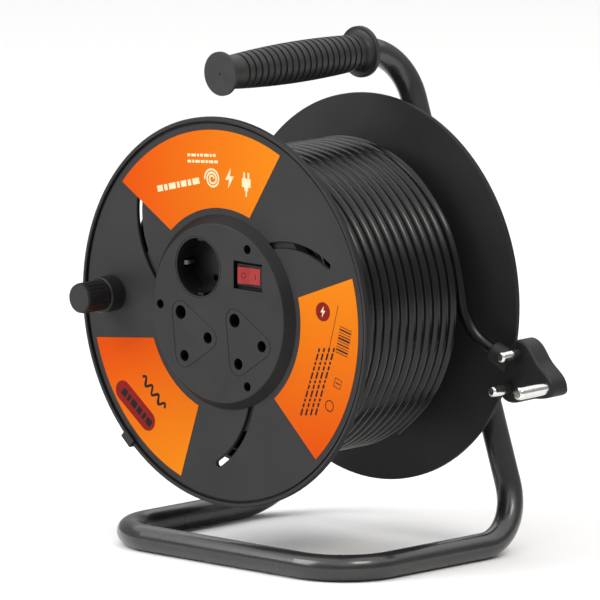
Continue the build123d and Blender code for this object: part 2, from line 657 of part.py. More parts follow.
wire_r, wire_bend = 1.25, 2.5
lead_end = -48.0
neutral_z, line_z = left_power[0][1], left_power[1][1]
terminal_end = 27.0
wire_routes = {
    "earth_wire": [
        [(0, 15.25, lead_end), (0, 15.25, -44), (0, 32.2, -37.5), (0, 32.2, left_earth[1]),
         (0, bar_back, left_earth[1])],
    ],
    "neutral_wires": [
        [(2.5, 18, lead_end), (2.5, 18, -45.8), (6, 35, -38.5), (6, 35, neutral_z), (6, bar_back, neutral_z)],
        [(-5, bar_back, neutral_z), (-5, 31, neutral_z), (schuko_x, 34, schuko_z - schuko_pin_half),
         (schuko_x, terminal_end, schuko_z - schuko_pin_half)],
    ],
    "line_wires": [
        [(-2.5, 18, lead_end), (-2.5, 18, -45.8), (-6, 38, -37.5), (-6, 42, -20), (22.5, 42, 10),
         (22.5, 36, switch_z), (22.5, terminal_end, switch_z)],
        [(32.5, terminal_end, switch_z), (32.5, 37, switch_z), (32.5, 37, -10), (20, 34, line_z),
         (20, bar_back, line_z)],
        [(-26, bar_back, line_z), (-26, 33, line_z), (-26, 37, 10), (schuko_x, 37, schuko_z + schuko_pin_half),
         (schuko_x, terminal_end, schuko_z + schuko_pin_half)],
    ],
}
for label, routes in wire_routes.items():
    with BuildPart() as wires:
        for route in routes:
            with BuildLine() as wire_line:
                FilletPolyline(*[at(*point) for point in route], radius=wire_bend)
            with BuildSketch(Plane(origin=wire_line.line @ 0, z_dir=wire_line.line % 0)):
                Circle(wire_r)
            sweep(path=wire_line.line)
    save(wires, label)

# ================= winding, free end and plug =================
layer = 2 * cord_r
inner_layers, outer_layer = (13.0, 135.0), (14.75, 120.15)      # depths that the layers reach to
with BuildPart() as cord_winding:
    ring_profile([(inner_layers[0], core_r), (inner_layers[0], core_r + 2 * layer),
                  (outer_layer[0], core_r + 2 * layer), (outer_layer[0], core_r + 3 * layer),
                  (outer_layer[1], core_r + 3 * layer), (outer_layer[1], core_r + 2 * layer),
                  (inner_layers[1], core_r + 2 * layer), (inner_layers[1], core_r)])
save(cord_winding, "cord_winding")

# the last turn starts beside the rear flange, climbs on to the inner layers and lies against the
# outer layer, with a corner of its route every 30 degrees and closer ones before the free end
lap_r, gap_depth, lap_depth = 101.6, 141.0, 124.5
lap_corners = [(242.4 - 30 * corner, 30.0) for corner in range(7)] + [(36.4, 22.0), (19.4, 12.0)]
lap_depths = [gap_depth, gap_depth, 132.0] + [lap_depth] * 6
free_route = [(100.3, 124.5, 17.4), (101.9, 124.6, 8.3), (103.4, 124.9, -0.8), (106.4, 126.0, -9.3),
              (110.9, 127.6, -16.6), (116.8, 129.8, -22.5), (123.8, 131.8, -26.8)]


def around(r, depth, degrees):
    x, z = polar(r, degrees)
    return at(x, depth, z)


def corner_radius(before, corner, after):
    """An arc of 0.45 of the shorter run, so that neighbouring arcs never meet."""
    first, second = corner - before, after - corner
    half_turn = radians(first.get_angle(second)) / 2
    return 0.45 * min(first.length, second.length) / (sin(half_turn) / cos(half_turn))


tail_points = [around(92.0, gap_depth, 266.0)]
for (turn, bend), depth in zip(lap_corners, lap_depths):
    tail_points.append(around(lap_r / cos(radians(bend / 2)), depth, turn))
tail_points += [at(*point) for point in free_route]
tail_radii = [corner_radius(*tail_points[i - 1:i + 2]) for i in range(1, len(tail_points) - 1)]
print("cord tail radii, mm:", [round(r, 1) for r in tail_radii])
with BuildPart() as cord_tail:
    with BuildLine() as tail_line:
        FilletPolyline(*tail_points, radius=tail_radii)
    with BuildSketch(Plane(origin=tail_line.line @ 0, z_dir=tail_line.line % 0)):
        Circle(cord_r)
    sweep(path=tail_line.line)
save(cord_tail, "cord_tail")
print("cord tail length, mm:", round(sum(edge.length for edge in tail_line.edges()), 1))

# the plug: its pins point forward and a little to the right, and it is rolled to the lead's side
plug_yaw, plug_roll = 3.0, 17.5
plug_middle = at(146.7, 128.0, -38.6)           # midway between the two small pins, on the pin face
plug_out = Vector(sin(radians(plug_yaw)), -cos(radians(plug_yaw)), 0)
plug_right = Vector(cos(radians(plug_yaw)), sin(radians(plug_yaw)), 0)
plug_across = plug_right * cos(radians(plug_roll)) - Vector(0, 0, sin(radians(plug_roll)))
plug_plane = Plane(origin=plug_middle, x_dir=plug_across, z_dir=plug_out)
pin_half, earth_offset = 12.7, 28.6
power_pin_length, earth_pin_length, plug_thick = 18.6, 28.6, 17.0
sleeve_length, sleeved_r = 7.5, 2.7
# half of the body's outline, from the earth pin's end round to the lead's end
plug_side = [(31.6, 6.2), (17.4, 13.2), (4.2, 21.6), (-4.2, 21.2), (-8.8, 13.0)]
plug_outline = [(35.8, 0), *plug_side, (-7.6, 0), *[(x, -y) for x, y in reversed(plug_side)]]

with BuildPart() as plug_body:
    with BuildSketch(plug_plane.offset(-plug_thick)):
        with BuildLine():
            Spline(*plug_outline, periodic=True)
        make_face()
    extrude(amount=plug_thick)
    plug_ends = plug_body.faces().sort_by(Axis(plug_middle, plug_out))
    fillet([*plug_ends[0].edges(), *plug_ends[-1].edges()], 2.0)
save(plug_body, "plug_body")

with BuildPart() as plug_earth_pin:
    with BuildSketch(plug_plane):
        with Locations((earth_offset, 0)):
            Circle(plug_earth_r)
    extrude(amount=earth_pin_length)
    fillet(plug_earth_pin.faces().sort_by(Axis(plug_middle, plug_out))[-1].edges(), 1.6)
save(plug_earth_pin, "plug_earth_pin")

power_pins_at = {"plug_line_pin": (0, pin_half), "plug_neutral_pin": (0, -pin_half)}
for label, place in power_pins_at.items():
    with BuildPart() as plug_pin:
        with BuildSketch(plug_plane):
            with Locations(place):
                Circle(sleeved_r)
        extrude(amount=sleeve_length)
        with BuildSketch(plug_plane.offset(sleeve_length)):
            with Locations(place):
                Circle(plug_power_r)
        extrude(amount=power_pin_length - sleeve_length)
        fillet(plug_pin.faces().sort_by(Axis(plug_middle, plug_out))[-1].edges(), 1.6)
    save(plug_pin, label)

with BuildPart() as plug_pin_sleeves:
    with BuildSketch(plug_plane):
        with Locations(*power_pins_at.values()):
            Circle(plug_power_r)
            Circle(sleeved_r, mode=Mode.SUBTRACT)
    extrude(amount=sleeve_length)
save(plug_pin_sleeves, "plug_pin_sleeves")

# the boot that the cord enters, in line with the cord's end
boot_tip_r, boot_base_r, boot_length = 6.9, 8.2, 24.0
boot_tip_plane = Plane(origin=tail_points[-1], z_dir=tail_line.line % 1)
with BuildPart() as plug_boot:
    with BuildSketch(boot_tip_plane):
        Circle(boot_tip_r)
    with BuildSketch(boot_tip_plane.offset(boot_length)):
        Circle(boot_base_r)
    loft()
    fillet(plug_boot.faces().sort_by(Axis(boot_tip_plane.origin, boot_tip_plane.z_dir))[0].edges(), 2.0)
    add(plug_body.part, mode=Mode.SUBTRACT)
save(plug_boot, "plug_boot")
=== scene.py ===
from math import atan2, cos, pi, radians, sin

import bpy
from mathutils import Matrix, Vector


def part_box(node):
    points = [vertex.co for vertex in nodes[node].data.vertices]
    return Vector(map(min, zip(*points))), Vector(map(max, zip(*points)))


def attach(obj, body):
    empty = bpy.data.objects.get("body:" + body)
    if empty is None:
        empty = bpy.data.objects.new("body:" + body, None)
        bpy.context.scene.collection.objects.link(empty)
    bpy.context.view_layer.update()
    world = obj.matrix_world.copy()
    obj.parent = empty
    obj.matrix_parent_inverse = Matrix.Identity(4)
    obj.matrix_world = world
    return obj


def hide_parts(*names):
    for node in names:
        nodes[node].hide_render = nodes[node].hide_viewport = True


# The looks of the extension cord reel: its camera and lights, the wound cord and its free end,
# the prints on its labels, and a procedural material for every part.
# Points are (x, depth, z) in millimetres: sideways, behind the front lip, and over the drum's axis.
# Angles go round that axis, seen from the front: 0 is to the right and 90 is up.

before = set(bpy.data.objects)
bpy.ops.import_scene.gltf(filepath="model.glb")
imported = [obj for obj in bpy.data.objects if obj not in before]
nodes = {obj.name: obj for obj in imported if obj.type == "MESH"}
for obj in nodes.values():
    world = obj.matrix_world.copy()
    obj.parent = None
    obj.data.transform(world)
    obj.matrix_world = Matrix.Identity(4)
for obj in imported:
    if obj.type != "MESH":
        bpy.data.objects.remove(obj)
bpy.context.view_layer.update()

MM = 0.001
lip_low, lip_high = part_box("front_flange")
FRONT_Y = lip_low.y
AXIS_Z = (lip_low.z + lip_high.z) / 2
LABEL_DEPTH = 1.2           # the labels' printed faces


def at(x, depth, z):
    """A point in the row frame, in metres."""
    return Vector((x * MM, FRONT_Y + depth * MM, AXIS_Z + z * MM))


def around(radius, depth, degrees):
    """A point round the drum's axis: 0 is to the right, 90 is up."""
    return at(radius * cos(radians(degrees)), depth, radius * sin(radians(degrees)))


# ---------------------------------------------------------------- camera, light and floor
VIEW_AZIMUTH, VIEW_ELEVATION = 43.46, 9.59
VIEW_DISTANCE, VIEW_LENS = 10.054, 900.0        # metres and millimetres
SENSOR_WIDTH = 36.0
view_target = at(36.49, 36.51, 8.29)
light_target = at(0, 70, 0)
FLOOR_SIZE, FLOOR_GREY, FLOOR_ROUGHNESS = 30.0, 0.82, 0.9
SURROUND_STRENGTH = 0.35


def direction(azimuth, elevation):
    """From the object towards a camera or a light at these angles."""
    a, e = radians(azimuth), radians(elevation)
    return Vector((sin(a) * cos(e), -cos(a) * cos(e), sin(e)))


def add_camera():
    camera = bpy.data.objects.new("camera", bpy.data.cameras.new("camera"))
    bpy.context.scene.collection.objects.link(camera)
    back = direction(VIEW_AZIMUTH, VIEW_ELEVATION)
    camera.data.lens = VIEW_LENS
    camera.data.sensor_width = SENSOR_WIDTH
    camera.data.clip_end = 100.0
    camera.location = view_target + back * VIEW_DISTANCE
    camera.rotation_euler = (-back).to_track_quat("-Z", "Y").to_euler()
    bpy.context.scene.camera = camera


def add_softbox(name, azimuth, elevation, distance, size, power, color=(1.0, 1.0, 1.0)):
    """A rectangular area light that faces the middle of the reel. Its size is (width, height)."""
    data = bpy.data.lights.new(name, "AREA")
    data.shape = "RECTANGLE"
    data.size, data.size_y = size
    data.energy = power
    data.color = color
    light = bpy.data.objects.new(name, data)
    bpy.context.scene.collection.objects.link(light)
    back = direction(azimuth, elevation)
    light.location = light_target + back * distance
    light.rotation_euler = (-back).to_track_quat("-Z", "Y").to_euler()


def add_room():
    """A plain pale floor, a white surround and soft lights."""
    bpy.ops.mesh.primitive_plane_add(size=FLOOR_SIZE, location=(0, 0, 0))
    floor = bpy.context.object
    floor.name = "floor"
    paint = bpy.data.materials.new("floor_paint")
    paint.use_nodes = True
    surface = paint.node_tree.nodes["Principled BSDF"]
    surface.inputs["Base Color"].default_value = (FLOOR_GREY, FLOOR_GREY, FLOOR_GREY, 1)
    surface.inputs["Roughness"].default_value = FLOOR_ROUGHNESS
    surface.inputs["Specular IOR Level"].default_value = 0.1
    floor.data.materials.append(paint)
    world = bpy.data.worlds.new("surround")
    world.use_nodes = True
    background = world.node_tree.nodes["Background"]
    background.inputs["Color"].default_value = (1, 1, 1, 1)
    background.inputs["Strength"].default_value = SURROUND_STRENGTH
    bpy.context.scene.world = world
    add_softbox("ceiling", azimuth=180, elevation=89, distance=3.0, size=(9.0, 9.0), power=300.0)
    add_softbox("key_light", azimuth=-28, elevation=32, distance=2.0, size=(1.2, 1.2), power=28.0)
    add_softbox("side_light", azimuth=80, elevation=48, distance=2.2, size=(0.9, 0.5), power=17.0,
                color=(1.0, 0.93, 0.85))
    bpy.context.scene.view_settings.view_transform = "Standard"


# ---------------------------------------------------------------- cord
CORD_R = 4.05
CORE_R = 81.0               # the drum barrel that the cord is wound on
CORD_SPACING = 15           # degrees between the winding's control points
STEP_SWEEP = 36             # degrees in which a turn steps over to the next one
CIRCLE_GROWTH = 1 / cos(radians(CORD_SPACING / 2))      # the spline runs this much inside its control points


def cord_curve(name, points, fineness):
    """A round cord along a smooth spline through space, with those points as its control points."""
    data = bpy.data.curves.new(name, "CURVE")
    data.dimensions = "3D"
    spline = data.splines.new("NURBS")
    spline.points.add(len(points) - 1)
    for control, point in zip(spline.points, points):
        control.co = (*point, 1)
        control.radius = CORD_R * MM
    spline.order_u = 3
    spline.use_endpoint_u = True
    spline.resolution_u = fineness
    data.bevel_depth = 1.0      # times each point's radius
    data.bevel_resolution = 6
    data.use_fill_caps = True
    cord = bpy.data.objects.new(name, data)
    bpy.context.scene.collection.objects.link(cord)
    return cord


def smooth(t):
    """Eases from 0 to 1, and stays there."""
    t = min(1.0, max(0.0, t))
    return t * t * (3 - 2 * t)


# each layer's first depth, its pitch along the drum and its number of turns
LAYER_ROWS = ((17.05, 8.136, 15), (126.9, -8.3154, 14), (18.8, 8.11, 13))
LAYER_STARTS = (270, 315, 195)              # degrees round the drum where each layer's first turn begins
FIRST_SWEEPS, LAST_SWEEPS = (360, 315, 315), (315, 165, 315)        # degrees in each layer's end turns
layer_radii = [CORE_R + CORD_R * (2 * layer + 1) for layer in range(len(LAYER_ROWS))]
layer_depths = [[first + pitch * turn for turn in range(turns)] for first, pitch, turns in LAYER_ROWS]


def winding_points():
    """Three layers, wound clockwise as seen from the front. Each turn lies flat and then steps over to the
    next one. A layer's last turn climbs to the next layer, whose first turn moves over to its own depth."""
    points = []
    came_from = layer_depths[0][0]
    for layer, depths in enumerate(layer_depths):
        radius = layer_radii[layer]
        rise = layer_radii[min(layer + 1, len(layer_radii) - 1)] - radius
        for turn, depth in enumerate(depths):
            last = turn + 1 == len(depths)
            sweep = LAST_SWEEPS[layer] if last else 360
            if turn == 0:
                sweep = FIRST_SWEEPS[layer]
            started = LAYER_STARTS[layer] if turn == 0 else ended
            ended = started - sweep
            for swept in range(0, sweep, CORD_SPACING):
                arrived = smooth(swept / STEP_SWEEP) if turn == 0 else 1.0
                leaving = smooth((swept - sweep + STEP_SWEEP) / STEP_SWEEP)
                here = came_from + (depth - came_from) * arrived
                if not last:
                    here += (depths[turn + 1] - depth) * leaving
                height = radius + (rise * leaving if last else 0.0)
                points.append(around(height * CIRCLE_GROWTH, here, started - swept))
            came_from = depth
    return points


# the last turn and the free end: they stay with the stand when the drum turns
LAP_R, GAP_DEPTH, LAP_DEPTH = 101.6, 141.0, 124.5
TAIL_START_R, TAIL_START_ANGLE = 92.0, 266.0
# the turn's corners as (angle round the drum, degrees that the cord bends there)
lap_corners = [(242.4 - 30 * corner, 30.0) for corner in range(7)] + [(36.4, 22.0), (19.4, 12.0)]
lap_depths = [GAP_DEPTH, GAP_DEPTH, 132.0] + [LAP_DEPTH] * 6
free_route = [(100.3, 124.5, 17.4), (101.9, 124.6, 8.3), (103.4, 124.9, -0.8), (106.4, 126.0, -9.3),
              (110.9, 127.6, -16.6), (116.8, 129.8, -22.5), (123.8, 131.8, -26.8)]


def free_points():
    """The last turn, with its corners outside its circle so that the spline follows it, and the free end."""
    points = [around(TAIL_START_R, GAP_DEPTH, TAIL_START_ANGLE)]
    for (angle, bend), depth in zip(lap_corners, lap_depths):
        points.append(around(LAP_R / cos(radians(bend / 2)), depth, angle))
    return points + [at(*point) for point in free_route]


def add_cords():
    turns = winding_points()
    winding = cord_curve("wound_cord", turns, 4)
    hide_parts("cord_winding")
    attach(winding, "drum")
    route = free_points()
    tail = cord_curve("free_cord", route, 16)
    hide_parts("cord_tail")
    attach(tail, "stand")
    return winding, tail


# ---------------------------------------------------------------- materials
COLOR_A, COLOR_B, COLOR_RESULT = 6, 7, 2        # the Mix node's sockets for colours


class Finish:
    """A Principled material that is built up from procedural layers."""

    def __init__(self, name, color, roughness, metallic=0.0, specular=0.5, coat=0.0, soft_edge=0.0):
        self.material = bpy.data.materials.new(name)
        self.material.use_nodes = True
        self.tree = self.material.node_tree
        self.surface = self.tree.nodes["Principled BSDF"]
        self.place = self.add("ShaderNodeTexCoord").outputs["Object"]
        self.normal = None
        self.paint = None
        self.color = (*color, 1)
        self.surface.inputs["Base Color"].default_value = self.color
        self.surface.inputs["Roughness"].default_value = roughness
        self.surface.inputs["Metallic"].default_value = metallic
        self.surface.inputs["Specular IOR Level"].default_value = specular
        self.surface.inputs["Coat Weight"].default_value = coat
        self.surface.inputs["Coat Roughness"].default_value = 0.12
        if soft_edge:
            rounded = self.add("ShaderNodeBevel", samples=4)
            rounded.inputs["Radius"].default_value = soft_edge * MM
            self.use_normal(rounded.outputs["Normal"])

    def add(self, kind, **settings):
        node = self.tree.nodes.new(kind)
        for setting, value in settings.items():
            setattr(node, setting, value)
        return node

    def join(self, output, socket):
        self.tree.links.new(output, socket)

    def use_normal(self, output):
        self.normal = output
        self.join(output, self.surface.inputs["Normal"])

    def use_paint(self, output):
        self.paint = output
        self.join(output, self.surface.inputs["Base Color"])

    def noise(self, size, detail=2.0, stretch=(1, 1, 1)):
        """Noise whose features are about this many millimetres across."""
        mapping = self.add("ShaderNodeMapping")
        mapping.inputs["Scale"].default_value = stretch
        self.join(self.place, mapping.inputs["Vector"])
        noise = self.add("ShaderNodeTexNoise")
        noise.inputs["Scale"].default_value = 1 / (size * MM)
        noise.inputs["Detail"].default_value = detail
        self.join(mapping.outputs["Vector"], noise.inputs["Vector"])
        return noise.outputs["Fac"]

    def spread(self, value, low_in, high_in, low, high):
        """Carries one range of a value over to another, and stops at its ends."""
        shaper = self.add("ShaderNodeMapRange")
        for socket, number in zip(("From Min", "From Max", "To Min", "To Max"), (low_in, high_in, low, high)):
            shaper.inputs[socket].default_value = number
        self.join(value, shaper.inputs["Value"])
        return shaper.outputs["Result"]

    def mix(self, factor, second):
        """Blends the paint so far towards a second colour."""
        mixer = self.add("ShaderNodeMix", data_type="RGBA")
        self.join(factor, mixer.inputs["Factor"])
        if self.paint:
            self.join(self.paint, mixer.inputs[COLOR_A])
        else:
            mixer.inputs[COLOR_A].default_value = self.color
        mixer.inputs[COLOR_B].default_value = (*second, 1)
        self.use_paint(mixer.outputs[COLOR_RESULT])
        return self

    def mottle(self, size, second):
        """Soft patches of a second colour, about this many millimetres across."""
        return self.mix(self.spread(self.noise(size, 4.0), 0.35, 0.65, 0.0, 1.0), second)

    def grain(self, size, height, detail=2.0, stretch=(1, 1, 1)):
        """A relief of this height, in millimetres."""
        bump = self.add("ShaderNodeBump")
        bump.inputs["Strength"].default_value = 1.0
        bump.inputs["Distance"].default_value = height * MM
        self.join(self.noise(size, detail, stretch), bump.inputs["Height"])
        if self.normal:
            self.join(self.normal, bump.inputs["Normal"])
        self.use_normal(bump.outputs["Normal"])
        return self

    def sheen_spots(self, size, low, high):
        """Roughness that wanders between two values."""
        self.join(self.spread(self.noise(size, 3.0), 0.3, 0.7, low, high), self.surface.inputs["Roughness"])
        return self

    def painted_edge_highlights(self, radius, second, amount):
        """A painted highlight: a lighter tone along the sharp edges, broken up by noise."""
        rounded = self.add("ShaderNodeBevel", samples=4)
        rounded.inputs["Radius"].default_value = radius * MM
        geometry = self.add("ShaderNodeNewGeometry")
        alike = self.add("ShaderNodeVectorMath", operation="DOT_PRODUCT")
        self.join(rounded.outputs["Normal"], alike.inputs[0])
        self.join(geometry.outputs["Normal"], alike.inputs[1])
        edge = self.spread(alike.outputs["Value"], 0.99, 0.8, 0.0, amount)
        broken = self.add("ShaderNodeMath", operation="MULTIPLY")
        self.join(edge, broken.inputs[0])
        self.join(self.spread(self.noise(3.0, 4.0), 0.3, 0.6, 0.3, 1.0), broken.inputs[1])
        return self.mix(broken.outputs["Value"], second)

    def painted_side_shade(self, second):
        """Painted shade: a second, darker colour on the walls that don't face along the drum's axis."""
        split = self.add("ShaderNodeSeparateXYZ")
        geometry = self.add("ShaderNodeNewGeometry")
        self.join(geometry.outputs["True Normal"], split.inputs["Vector"])
        along = self.add("ShaderNodeMath", operation="ABSOLUTE")
        self.join(split.outputs["Y"], along.inputs[0])
        return self.mix(self.spread(along.outputs["Value"], 0.97, 0.75, 0.0, 1.0), second)

    def fade(self, start, end, first, last):
        """A straight blend between two colours, from one point of the row frame to another."""
        along = Vector(end) - Vector(start)
        shifted = self.add("ShaderNodeVectorMath", operation="SUBTRACT")
        shifted.inputs[1].default_value = start
        self.join(self.place, shifted.inputs[0])
        share = self.add("ShaderNodeVectorMath", operation="DOT_PRODUCT")
        share.inputs[1].default_value = along / along.length_squared
        self.join(shifted.outputs["Vector"], share.inputs[0])
        self.color = (*first, 1)
        return self.mix(self.spread(share.outputs["Value"], 0.0, 1.0, 0.0, 1.0), last)

    def apply(self, *pieces):
        for piece in pieces:
            piece.data.materials.clear()
            piece.data.materials.append(self.material)


def paint_stand():
    coat = Finish("stand_coat", (0.014, 0.014, 0.015), 0.26, coat=0.35, soft_edge=0.3)
    coat.mottle(14.0, (0.018, 0.018, 0.018)).grain(0.9, 0.004).sheen_spots(25.0, 0.22, 0.32)
    coat.apply(nodes["frame_tube"], nodes["axle_bracket"])
    grip = Finish("grip_plastic", (0.018, 0.018, 0.018), 0.45, specular=0.3, soft_edge=0.2)
    grip.mottle(9.0, (0.022, 0.022, 0.022)).grain(0.35, 0.012).sheen_spots(12.0, 0.36, 0.5)
    grip.apply(nodes["handle_grip"])


def paint_drum():
    flange = Finish("drum_plastic", (0.017, 0.017, 0.0175), 0.55, specular=0.25, soft_edge=0.3)
    flange.mottle(30.0, (0.02, 0.02, 0.02)).grain(0.4, 0.008).sheen_spots(40.0, 0.5, 0.6)
    # painted highlight: a lighter tone along the flange's sharp edges
    # painted shade: a darker colour on the flange's side walls
    flange.painted_side_shade((0.006, 0.006, 0.006)).painted_edge_highlights(0.4, (0.04, 0.04, 0.04), 0.25)
    flange.apply(*[nodes[n] for n in ("front_flange", "drum_core", "rear_flange", "rear_hub", "knob_cap",
                                      "rim_hook")])
    panel = Finish("panel_plastic", (0.0165, 0.0165, 0.017), 0.55, specular=0.25, soft_edge=0.3)
    panel.mottle(18.0, (0.0195, 0.0195, 0.0195)).grain(0.3, 0.01).sheen_spots(22.0, 0.5, 0.6)
    # painted highlight: a lighter tone along the panel's sharp edges
    # painted shade: a darker colour on the panel's side walls
    panel.painted_side_shade((0.003, 0.003, 0.003)).painted_edge_highlights(0.35, (0.035, 0.035, 0.035), 0.25)
    panel.apply(nodes["socket_panel"])
    insert = Finish("insert_plastic", (0.004, 0.004, 0.0045), 0.38, specular=0.25, soft_edge=0.25)
    insert.mottle(8.0, (0.006, 0.006, 0.0065)).grain(0.5, 0.004).sheen_spots(10.0, 0.28, 0.4)
    insert.apply(*[nodes[n] for n in ("schuko_insert", "socket_carrier_left", "socket_carrier_right",
                                      "switch_housing", "cord_clamp")])
    knob = Finish("knob_plastic", (0.006, 0.006, 0.0065), 0.42, specular=0.28, soft_edge=0.3)
    knob.mottle(6.0, (0.009, 0.009, 0.009)).grain(0.35, 0.01).sheen_spots(8.0, 0.34, 0.46)
    knob.apply(nodes["crank_knob"], nodes["crank_collar"])
    bush = Finish("bush_plastic", (0.7, 0.69, 0.65), 0.4, soft_edge=0.2)
    bush.mottle(5.0, (0.62, 0.61, 0.57)).grain(0.4, 0.004)
    bush.apply(nodes["hub_bushes"], nodes["axle_spacer"])
    rocker = Finish("rocker_red", (0.25, 0.012, 0.012), 0.4, specular=0.25, coat=0.05, soft_edge=0.4)
    rocker.mottle(4.0, (0.28, 0.019, 0.02)).grain(1.2, 0.003)
    rocker.surface.inputs["Subsurface Weight"].default_value = 0.1
    rocker.surface.inputs["Subsurface Radius"].default_value = (0.004, 0.001, 0.001)
    rocker.apply(nodes["rocker_button"])


def paint_metal():
    steel = Finish("zinc_steel", (0.56, 0.57, 0.6), 0.3, metallic=1.0, soft_edge=0.2)
    steel.mottle(3.0, (0.48, 0.5, 0.53)).grain(0.25, 0.004, stretch=(1, 0.2, 1)).sheen_spots(5.0, 0.24, 0.42)
    steel.apply(*[nodes[n] for n in ("bracket_screws", "axle", "saddle_washer", "axle_nut", "axle_washer",
                                     "snap_ring", "core_screws_front", "core_screws_rear", "hub_screws",
                                     "hub_nuts", "crank_pin", "crank_nut", "panel_screws", "clamp_screws")])
    nickel = Finish("nickel", (0.78, 0.77, 0.75), 0.18, metallic=1.0, soft_edge=0.3)
    nickel.mottle(3.0, (0.7, 0.69, 0.67)).grain(0.5, 0.002).sheen_spots(4.0, 0.14, 0.26)
    nickel.apply(*[nodes[n] for n in ("plug_line_pin", "plug_neutral_pin", "plug_earth_pin")])
    clip = Finish("dull_nickel", (0.2, 0.2, 0.19), 0.45, metallic=1.0, soft_edge=0.2)
    clip.mottle(2.0, (0.15, 0.15, 0.145)).grain(0.4, 0.003).sheen_spots(3.0, 0.4, 0.55)
    clip.apply(nodes["schuko_earth_clips"])
    brass = Finish("brass", (0.5, 0.36, 0.15), 0.35, metallic=1.0, soft_edge=0.15)
    brass.mottle(4.0, (0.4, 0.28, 0.12)).grain(0.3, 0.004).sheen_spots(5.0, 0.24, 0.42)
    brass.apply(*[nodes[n] for n in ("schuko_contacts", "socket_contacts", "earth_bar", "neutral_bar",
                                     "line_bar", "switch_terminals")])


def paint_rubber(*cords):
    jacket = Finish("cord_jacket", (0.003, 0.003, 0.0032), 0.24, specular=0.34)
    jacket.mottle(12.0, (0.0045, 0.0045, 0.0045)).grain(0.5, 0.003).sheen_spots(18.0, 0.22, 0.28)
    jacket.apply(*cords, nodes["cord_inner_end"])
    plug = Finish("plug_rubber", (0.009, 0.009, 0.0095), 0.48, specular=0.3, soft_edge=0.5)
    plug.mottle(7.0, (0.012, 0.012, 0.012)).grain(0.4, 0.012).sheen_spots(9.0, 0.4, 0.54)
    plug.apply(nodes["plug_body"], nodes["plug_boot"], nodes["plug_pin_sleeves"])
    for name, color, second in (("earth_wire", (0.2, 0.42, 0.05), (0.6, 0.55, 0.05)),
                                ("neutral_wires", (0.03, 0.1, 0.45), (0.04, 0.13, 0.5)),
                                ("line_wires", (0.16, 0.06, 0.02), (0.2, 0.08, 0.03))):
        wire = Finish(name, color, 0.4)
        wire.mottle(3.0, second).grain(0.4, 0.004)
        wire.apply(nodes[name])


LIGHT_ORANGE, DEEP_ORANGE = (0.61, 0.175, 0.004), (0.53, 0.058, 0.001)
CREAM, BLACK_INK, DARK_RED = (0.72, 0.6, 0.36), (0.008, 0.008, 0.008), (0.19, 0.006, 0.004)
SIGN_RED = (0.06, 0.004, 0.004)
INK_HEIGHT = 0.06           # how far the prints stand out of what they are on
ACROSS = (1, 0, 0)                          # sideways on every upright face that looks forward
ACROSS_LEFT_FACE = (0.9617, 0.2740, 0)      # sideways on the rocker's left face


def paint_labels():
    """Each label's orange deepens from the first point to the second."""
    for label, start, end in (("label_top", at(50, 0, 95), at(-95, 0, 82)),
                              ("label_right", at(95, 0, 35), at(90, 0, -90)),
                              ("label_left", at(-50, 0, -115), at(-85, 0, -30))):
        film = Finish(label + "_film", LIGHT_ORANGE, 0.5, specular=0.05, soft_edge=0.1)
        film.fade(start, end, LIGHT_ORANGE, DEEP_ORANGE)
        film.grain(1.5, 0.002).sheen_spots(20.0, 0.45, 0.55)
        film.apply(nodes[label])


# ---------------------------------------------------------------- prints
def moved(points, x, z, degrees=0.0):
    """Flat points turned about their origin and then carried to (x, z)."""
    c, s = cos(radians(degrees)), sin(radians(degrees))
    return [(x + c * u - s * v, z + s * u + c * v) for u, v in points]


def block(width, height):
    """A rectangle about the origin."""
    w, h = width / 2, height / 2
    return [(-w, -h), (w, -h), (w, h), (-w, h)]


def circle(r, corners=28):
    return [(r * cos(2 * pi * k / corners), r * sin(2 * pi * k / corners)) for k in range(corners)]


def stroke(points, width):
    """The outline of a line of this width through these points."""
    left, right = [], []
    for k, (x, z) in enumerate(points):
        before, after = points[max(k - 1, 0)], points[min(k + 1, len(points) - 1)]
        run = Vector((after[0] - before[0], after[1] - before[1])).normalized() * width / 2
        left.append((x - run.y, z + run.x))
        right.append((x + run.y, z - run.x))
    return left + right[::-1]


def ring(r, width, corners=32):
    around_once = circle(r, corners)
    return stroke(around_once + around_once[:1], width)


def dashes(start, end, height, lengths, gap):
    """A row of short bars from one point towards another, like a line of illegible small print."""
    run = Vector((end[0] - start[0], end[1] - start[1]))
    angle = atan2(run.y, run.x) * 180 / pi
    outlines, place = [], 0.0
    while place < run.length - 1:
        length = lengths[len(outlines) % len(lengths)]
        middle = Vector(start) + run.normalized() * (place + length / 2)
        outlines.append(moved(block(length, height), middle.x, middle.y, angle))
        place += length + gap
    return outlines


bolt = [(1.6, 7.0), (-4.0, -1.0), (-0.6, -1.0), (-1.8, -7.0), (4.0, 1.4), (0.5, 1.4)]
small_bolt = [(0.55 * u, 0.55 * v) for u, v in bolt]
spiral_radii = [1.5 + 5.5 * k / 60 for k in range(61)]
spiral = [(radius * cos(k * pi / 12), radius * sin(k * pi / 12)) for k, radius in enumerate(spiral_radii)]
plug_sign = [block(8.0, 6.0), moved(block(1.6, 4.0), -2.0, 5.0), moved(block(1.6, 4.0), 2.0, 5.0),
             moved(block(3.4, 2.4), 0.0, -4.2), moved(block(1.3, 4.0), 0.0, -7.2)]
pill_end = [(14.5 + 7.0 * sin(radians(turn)), -7.0 * cos(radians(turn))) for turn in range(0, 181, 15)]
pill = pill_end + [(-x, -z) for x, z in pill_end]
wave = [(-14.0 + 0.7 * k, 2.6 * sin(0.55 * k)) for k in range(41)]
card = [(-3, -3), (3, -3), (3, 3), (-3, 3), (-3, -2.6)]


